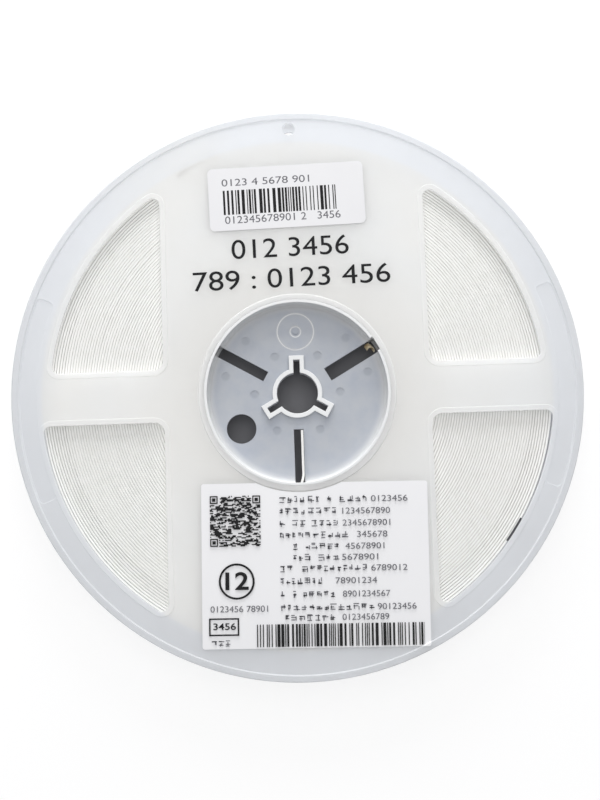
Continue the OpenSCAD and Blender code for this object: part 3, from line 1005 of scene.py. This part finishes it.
def make_dark_edge_line(material):
    """A small upright rectangle, spun a few degrees about the reel's axis."""
    strip_low, strip_high = box_mm("edge_strip")
    middle = (strip_low + strip_high) / 2
    bm = bmesh.new()
    bmesh.ops.create_grid(bm, x_segments=1, y_segments=1, size=0.5)
    for vert in bm.verts:
        across, up = vert.co.x + 0.5, vert.co.y + 0.5
        radius = EDGE_LINE_IN_R + (EDGE_LINE_OUT_R - EDGE_LINE_IN_R) * across
        vert.co = Vector((radius, 0, tape_high.z - EDGE_LINE_SINK + (EDGE_LINE_SINK + EDGE_LINE_RISE) * up))
    turn(bm, math.degrees(math.atan2(middle.y, middle.x)) - EDGE_LINE_SWEEP / 2, "Z")
    spin_section(bm, math.radians(EDGE_LINE_SWEEP), EDGE_LINE_STEPS)
    tidy_faces(bm, 0.001)
    print("dark edge line open edges:", open_edges(bm))
    finish_piece(bm, "dark_edge_line", material)


make_dark_edge_line(dark_film)

# %% [markdown]
# Small films and labels. These solids already have the right shape, so they stay and only get their
# materials. Nothing on the labels is a name: the printed fields keep their kind and place, but hold
# plain numbers, bars without a code, and strokes that stand for small print.

# %% Carried-over solids
def dress(node, material):
    """Gives a carried-over solid its procedural material."""
    mesh = frame["nodes"][node].data
    mesh.materials.clear()
    mesh.materials.append(material)
    print(node, "->", material.name)


dress("end_tab", adhesive_film)
dress("edge_strip", dark_film)
dress("upper_label", upper_paper)
dress("lower_label", label_paper)

# %% [markdown]
# Printing. Ink is made as very thin plates on the paper, and not painted into the paper's material,
# so that it has real edges and a finish of its own. The plates lie a hair above the sheet.

# %% Printing helpers
INK_T = 0.012
INK_LIFT = 0.002


def sheet_place(node, tilt):
    """Matrix from a label's own plan to the reel, on top of the label."""
    low, high = box_mm(node)
    centre = Vector(((low.x + high.x) / 2, (low.y + high.y) / 2, high.z + INK_LIFT))
    return Matrix.Translation(centre) @ Matrix.Rotation(math.radians(tilt), 4, "Z")


def add_block(bm, x0, x1, y0, y1):
    """One printed block between two corners of the plan."""
    size = Matrix.Diagonal((x1 - x0, y1 - y0, INK_T, 1))
    place = Matrix.Translation(((x0 + x1) / 2, (y0 + y1) / 2, INK_T / 2))
    bmesh.ops.create_cube(bm, size=1.0, matrix=place @ size)


BAR_UNITS = (1, 1, 1, 2, 2, 3)


def add_bars(bm, rng, x0, x1, y0, y1, unit):
    """Bars and spaces of one to three units, which hold no code."""
    x = x0
    while x < x1:
        wide = unit * rng.choice(BAR_UNITS)
        add_block(bm, x, min(x + wide, x1), y0, y1)
        x += wide + unit * rng.choice(BAR_UNITS)


def text_mesh(text, bold):
    """The outlines of a line of figures as a flat mesh."""
    curve = bpy.data.curves.new("figures", "FONT")
    curve.body, curve.offset = text, bold
    holder = add_object("figures", curve)
    bpy.context.view_layer.update()
    seen = holder.evaluated_get(bpy.context.evaluated_depsgraph_get())
    mesh = bpy.data.meshes.new_from_object(seen)
    bpy.data.objects.remove(holder)
    return mesh


def add_figures(bm, text, x, y, height, width, bold=0.0):
    """Figures as a thin plate, fitted between x and x + width, standing on y."""
    flat = text_mesh(text, bold)
    glyphs = bmesh.new()
    glyphs.from_mesh(flat)
    bmesh.ops.remove_doubles(glyphs, verts=glyphs.verts, dist=1e-5)
    xs = [v.co.x for v in glyphs.verts]
    ys = [v.co.y for v in glyphs.verts]
    shift(glyphs, -min(xs), -min(ys))
    fit = Vector((width / (max(xs) - min(xs)), height / (max(ys) - min(ys)), 1))
    bmesh.ops.scale(glyphs, vec=fit, verts=glyphs.verts)
    thicken(glyphs, INK_T)
    shift(glyphs, x, y)
    plate = to_mesh(glyphs, "figures")
    bm.from_mesh(plate)
    for used in (flat, plate):
        bpy.data.meshes.remove(used)


SIGN_WIDTHS = (0.62, 0.8, 0.95)
SIGN_GAP, LINE_END, STROKE = 0.18, 0.8, 0.13
SPACE_ODDS = 0.1


def add_small_print(bm, rng, x0, x1, y, height):
    """Short strokes in cells, which stand for a line of small print and spell nothing."""
    x = x0
    while x + height * LINE_END < x1:
        wide = height * rng.choice(SIGN_WIDTHS)
        if rng.random() < SPACE_ODDS:
            x += wide
            continue
        stroke = height * STROKE
        for _ in range(rng.choice((2, 3, 3))):
            level = y + rng.random() * (height - stroke)
            add_block(bm, x, x + wide * rng.uniform(0.5, 0.95), level, level + stroke)
        for _ in range(rng.choice((1, 2, 2))):
            post = x + rng.random() * wide * 0.75
            low = y + rng.random() * height * 0.4
            add_block(bm, post, post + stroke, low, low + height * rng.uniform(0.45, 0.6))
        x += wide + height * SIGN_GAP


def finish_print(bm, name, place, material):
    bmesh.ops.transform(bm, matrix=place, verts=bm.verts)
    finish_piece(bm, name, material)


# %% Upper label print
upper_place = sheet_place("upper_label", 1.4)


# Lines of figures are given as text, left end, foot, height and width.
UPPER_LINES = (
    ("0123 4 5678 901", -20.4, 4.3, 2.3, 28.0),
    ("012345678901 2   3456", -19.9, -7.9, 2.4, 36.8),
)


def add_lines(bm, lines):
    for line in lines:
        add_figures(bm, *line)


def print_upper_label():
    bm = bmesh.new()
    add_bars(bm, random.Random(11), -20.2, 15.9, -5.0, 2.9, 0.33)
    finish_print(bm, "upper_label_bars", upper_place, print_ink)
    bm = bmesh.new()
    add_lines(bm, UPPER_LINES)
    finish_print(bm, "upper_label_figures", upper_place, thin_ink)


print_upper_label()

# %% [markdown]
# Print on the flange. Two lines of large figures stand on the bare plastic between the upper label
# and the hub. They are plain figures in counting order.

# %% Flange print
PRINT_TILT = math.radians(1.05)
RIM_RISE = 0.4
PRINT_PLACE = Vector((-0.6, 36.7, front_high.z - RIM_RISE + INK_LIFT))
FLANGE_LINES = (
    ("012 3456", -18.6, 6.6, 6.2, 37.2),
    ("789 : 0123 456", -31.3, -3.2, 6.2, 62.6),
)


def print_on_flange():
    bm = bmesh.new()
    add_lines(bm, FLANGE_LINES)
    place = Matrix.Translation(PRINT_PLACE) @ Matrix.Rotation(PRINT_TILT, 4, "Z")
    finish_print(bm, "flange_figures", place, print_ink)


print_on_flange()

# %% [markdown]
# Print on the lower label. A square of small modules with three corner marks, a ring round a
# number, rows of figures and small print, a box, and a long row of bars, filled by seeded draws.

# %% Lower label print
lower_place = sheet_place("lower_label", -1.0)
MODULES, MARK = 45, 7
MODULE_ODDS = 0.55


def add_frame(bm, x0, x1, y0, y1, line):
    """A square-cornered frame of four blocks that meet without a lap."""
    for low in (y0, y1 - line):
        add_block(bm, x0, x1, low, low + line)
    for left in (x0, x1 - line):
        add_block(bm, left, left + line, y0 + line, y1 - line)


def corner_mark(bm, x, y, unit):
    """A square frame of seven modules with a square of three inside it."""
    side = MARK * unit
    add_frame(bm, x, x + side, y, y + side, unit)
    add_block(bm, x + 2 * unit, x + 5 * unit, y + 2 * unit, y + 5 * unit)


def near_mark(row, column, run):
    """True where a run of modules would reach a corner mark or its margin."""
    margin, far = MARK + 1, MODULES - MARK - 1
    at_left = column < margin
    return (row < margin and at_left) or (row >= far and (at_left or column + run > far))


def print_module_square(x, y, side):
    rng = random.Random(23)
    unit = side / MODULES
    bm = bmesh.new()
    for row in range(MODULES):
        column = 0
        while column < MODULES:
            run = rng.choice((1, 1, 2, 3, 4))
            if not near_mark(row, column, run) and rng.random() < MODULE_ODDS:
                end = min(column + run, MODULES)
                low = y + row * unit
                add_block(bm, x + column * unit, x + end * unit, low, low + unit)
            column += run
    far = MODULES - MARK
    for across, up in ((0, 0), (0, far), (far, far)):
        corner_mark(bm, x + across * unit, y + up * unit, unit)
    finish_print(bm, "lower_label_modules", lower_place, print_ink)


RING_STEPS = 72


def add_ring(bm, x, y, radius, line):
    """A flat ring in an empty bmesh: a square section, spun once round."""
    bmesh.ops.create_grid(bm, x_segments=1, y_segments=1, size=0.5)
    bmesh.ops.scale(bm, vec=Vector((line, INK_T, 1)), verts=bm.verts)
    turn(bm, 90, "X")
    shift(bm, radius, 0, INK_T / 2)
    spin_section(bm, math.tau, RING_STEPS)
    caps = [f for f in bm.faces if all(abs(v.co.y) < 1e-6 and v.co.x > 0 for v in f.verts)]
    bmesh.ops.delete(bm, geom=caps, context="FACES_ONLY")
    face_out(bm)
    shift(bm, x, y)


def print_lower_fields():
    bm = bmesh.new()
    add_ring(bm, -24.5, -4.8, 5.25, 0.62)
    add_figures(bm, "12", -28.0, -7.4, 5.5, 7.2, 0.018)
    left, low = -33.2, -21.4
    add_frame(bm, left, -23.9, low, -16.0, 0.46)
    add_figures(bm, "3456", left + 1.3, low + 1.8, 2.1, 7.0, 0.012)
    finish_print(bm, "lower_label_fields", lower_place, print_ink)


SMALL_LINES = (
    (20.3, 29.0), (16.6, 23.5), (12.9, 23.5), (9.3, 22.5), (5.7, 21.5), (2.3, 19.5),
    (-1.1, 28.5), (-4.9, 19.0), (-9.0, 23.0), (-13.0, 31.0), (-16.1, 22.5),
)
LINE_START, INDENT_START, INDENTED = -10.9, -6.8, (4, 5)
FIGURE_PITCH = 1.5


def print_lower_small():
    """Rows of small print, each with a few figures after it, from (height, right end) pairs."""
    rng = random.Random(5)
    bm = bmesh.new()
    for row, (y, end) in enumerate(SMALL_LINES):
        start = INDENT_START if row in INDENTED else LINE_START
        half = start + (end - start) * (0.55 if row % 3 else 0.7)
        add_small_print(bm, rng, start, half, y - 1.1, 2.2)
        count = max(4, int((end - half) / FIGURE_PITCH))
        figures = "".join(str((row + k) % 10) for k in range(count))
        add_figures(bm, figures, half + 0.6, y - 1.0, 1.9, end - half - 0.6)
    add_figures(bm, "0123456 78901", -32.7, -14.2, 1.9, 17.8)
    add_small_print(bm, rng, -32.4, -25.6, -24.6, 1.9)
    finish_print(bm, "lower_label_small_print", lower_place, thin_ink)


def print_lower_bars():
    bm = bmesh.new()
    add_bars(bm, random.Random(31), -18.4, 33.3, -25.0, -18.1, 0.3)
    finish_print(bm, "lower_label_bars", lower_place, print_ink)


print_module_square(-32.6, 6.0, 15.7)
print_lower_fields()
print_lower_small()
print_lower_bars()

# %% [markdown]
# Floor, card and light. The floor is plain and pale, and reads as white to the camera while it
# keeps the reel's shadow. A dark round card lies under the reel, inside its rim, so that the holes
# of the hub look into the dark. The light is one large soft lamp over the reel, a low one from
# behind it, and an even white world.

# %% Floor and card
CARD_R, CARD_Z = 80.0, 0.05
FLOOR_R = 3000
FLOOR_TONES = ((0.26, 0.26, 0.26, 1), (0.25, 0.25, 0.255, 1))
CARD_TONES = ((0.17, 0.17, 0.18, 1), (0.19, 0.19, 0.2, 1))
FLOOR_GLOW, GLOW_RUN = (0.79, 1.05), (0.25, 0.8)


def make_matt_material(name, scale, tones):
    """A dull surface whose tone drifts a little."""
    material, tree, shader, coords = new_material(name)
    tone = use_mottle(tree, coords, scale, *tones)[0]
    set_sockets(tree, shader, Base_Color=tone, Roughness=0.9)
    return material, tree, shader, coords


def make_floor_material():
    """The floor glows for the camera alone, and more so far away, so that it reads as white."""
    material, tree, shader, coords = make_matt_material("floor", 3.0, FLOOR_TONES)
    rays = tree.nodes.new("ShaderNodeLightPath").outputs
    bare = calc(tree, "LESS_THAN", rays["Transparent Depth"], 0.5)
    seen = calc(tree, "MULTIPLY", rays["Is Camera Ray"], bare)
    level = ranged(tree, plan_distance(tree, coords), *FLOOR_GLOW, *GLOW_RUN, smooth=True)
    glow = calc(tree, "MULTIPLY", seen, level)
    set_sockets(tree, shader, Specular_IOR_Level=0.1, Emission_Color=WHITE, Emission_Strength=glow)
    return material


def make_stage(name, material, radius, z, steps):
    """A round flat sheet that isn't part of the reel."""
    bm = bmesh.new()
    bmesh.ops.create_circle(bm, cap_ends=True, segments=steps, radius=radius * MM)
    shift(bm, z=z * MM)
    face_out(bm)
    mesh = to_mesh(bm, name)
    if mesh.polygons[0].normal.z < 0:
        mesh.flip_normals()
    mesh.materials.append(material)
    stage = add_object(name, mesh)
    stage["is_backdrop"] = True
    print(name, "on the stage")


make_stage("floor", make_floor_material(), FLOOR_R, 0.0, 64)
make_stage("card", make_matt_material("card", 30.0, CARD_TONES)[0], CARD_R, CARD_Z, 96)

# %% Lamps and world
LAMPS = [
    ("over", (0.0, 0.35, 0.9), (0, 0, 0), 1.1, 4.7),
    ("behind", (0.0, 0.75, 0.16), (0, 0.02, 0), 0.5, 7.5),
]
WORLD_LEVEL = 0.36


def make_lamp(name, place, aim, size, power):
    """A square soft lamp. The low one gives light but no glare."""
    data = bpy.data.lights.new(name, "AREA")
    data.shape, data.size, data.energy = "SQUARE", size, power
    lamp = add_object(name, data)
    lamp.location = place
    lamp.visible_glossy = name != "behind"
    lamp.rotation_euler = (Vector(aim) - Vector(place)).to_track_quat("-Z", "Y").to_euler()


def make_world():
    """An even white world, which the camera sees as plain white."""
    world = bpy.data.worlds.new("studio")
    bpy.context.scene.world = world
    world.use_nodes = True
    tree = world.node_tree
    rays = tree.nodes.new("ShaderNodeLightPath").outputs
    seen = calc(tree, "MAXIMUM", rays["Is Camera Ray"], rays["Is Transmission Ray"])
    level = ranged(tree, seen, WORLD_LEVEL, 1.0)
    set_sockets(tree, tree.nodes["Background"], Color=WHITE, Strength=level)


for lamp in LAMPS:
    make_lamp(*lamp)
make_world()
bpy.context.scene.view_settings.view_transform = "Standard"
print("lamps:", len(LAMPS))

# %% [markdown]
# Last, the box of the dressed reel is printed.

# %% Sizes
seen_low, seen_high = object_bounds()
corners = [[round(c / MM, 2) for c in corner] for corner in (seen_low, seen_high)]
print("box of the dressed reel, mm:", *corners)
